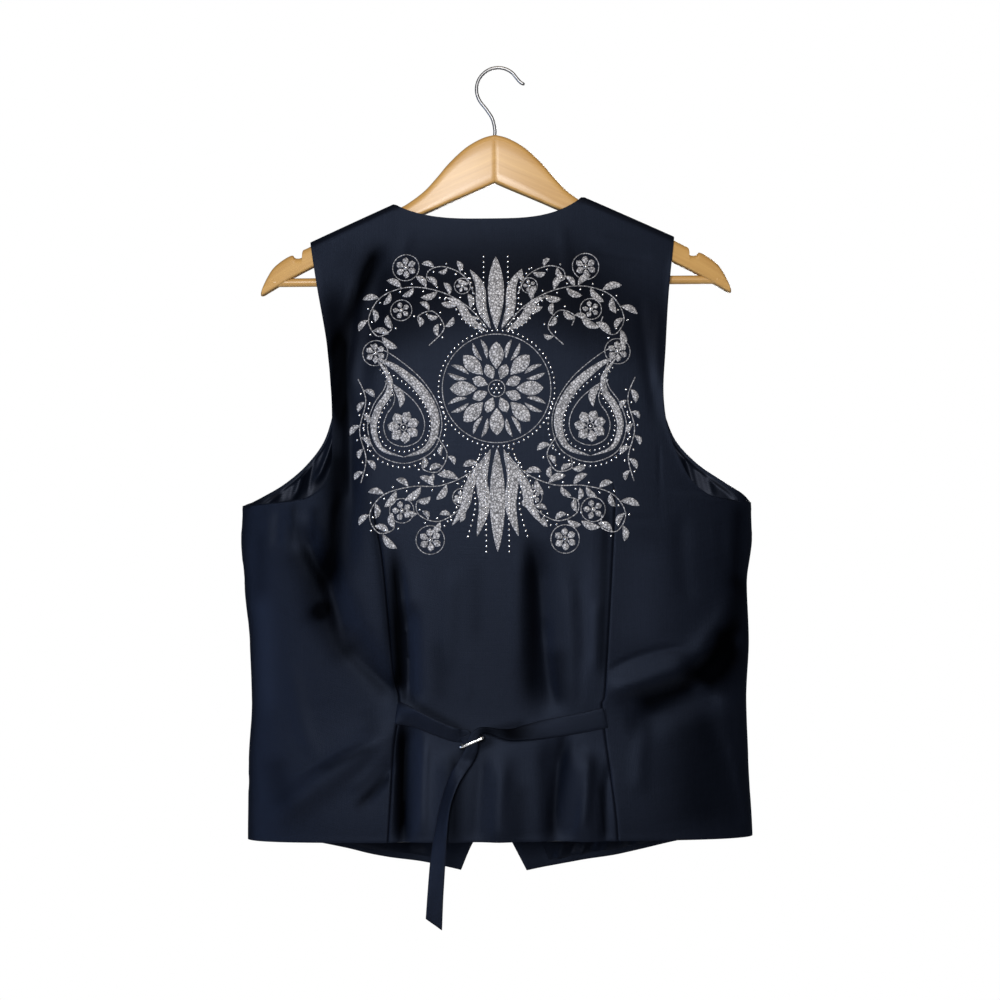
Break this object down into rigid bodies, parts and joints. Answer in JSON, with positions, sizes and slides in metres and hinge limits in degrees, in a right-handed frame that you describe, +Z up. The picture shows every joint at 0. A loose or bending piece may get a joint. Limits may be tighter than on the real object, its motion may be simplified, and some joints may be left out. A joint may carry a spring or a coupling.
{
  "type": "biker vest on a hanger",
  "caption": "Sleeveless tailored back-cinch vest with lapped buttoned fronts, hanging open-necked on a contoured wooden hanger with a wire hook.",
  "frame": {"origin": "inside of the hook's crown, the point that bears on a rail", "axes": "+Z up, +Y towards the wearer's front, so the back with its cinch strap faces -Y; -X is the wearer's left"},
  "size_m": [0.4825, 0.1076, 0.7997],
  "materials": {
    "cloth": "fine plain weave in near-black navy with a soft satin sheen",
    "lining": "smooth glossy lining twill, near-black blue",
    "slide": "bright plated wire",
    "button": "dark horn look, softly polished",
    "wood": "pale beech with satin varnish",
    "hook": "polished steel wire"
  },
  "bodies": {
    "root": {"back": "cloth", "front_left": "cloth", "front_right": "cloth", "lining_left": "lining", "lining_right": "lining", "strap_left": "cloth", "strap_right": "cloth", "slide": "slide", "button_1": "button", "button_2": "button", "button_3": "button", "button_4": "button", "button_5": "button", "hanger_arm_left": "wood", "hanger_arm_right": "wood", "hanger_bar": "wood", "hanger_hook": "hook"}
  },
  "joints": []
}
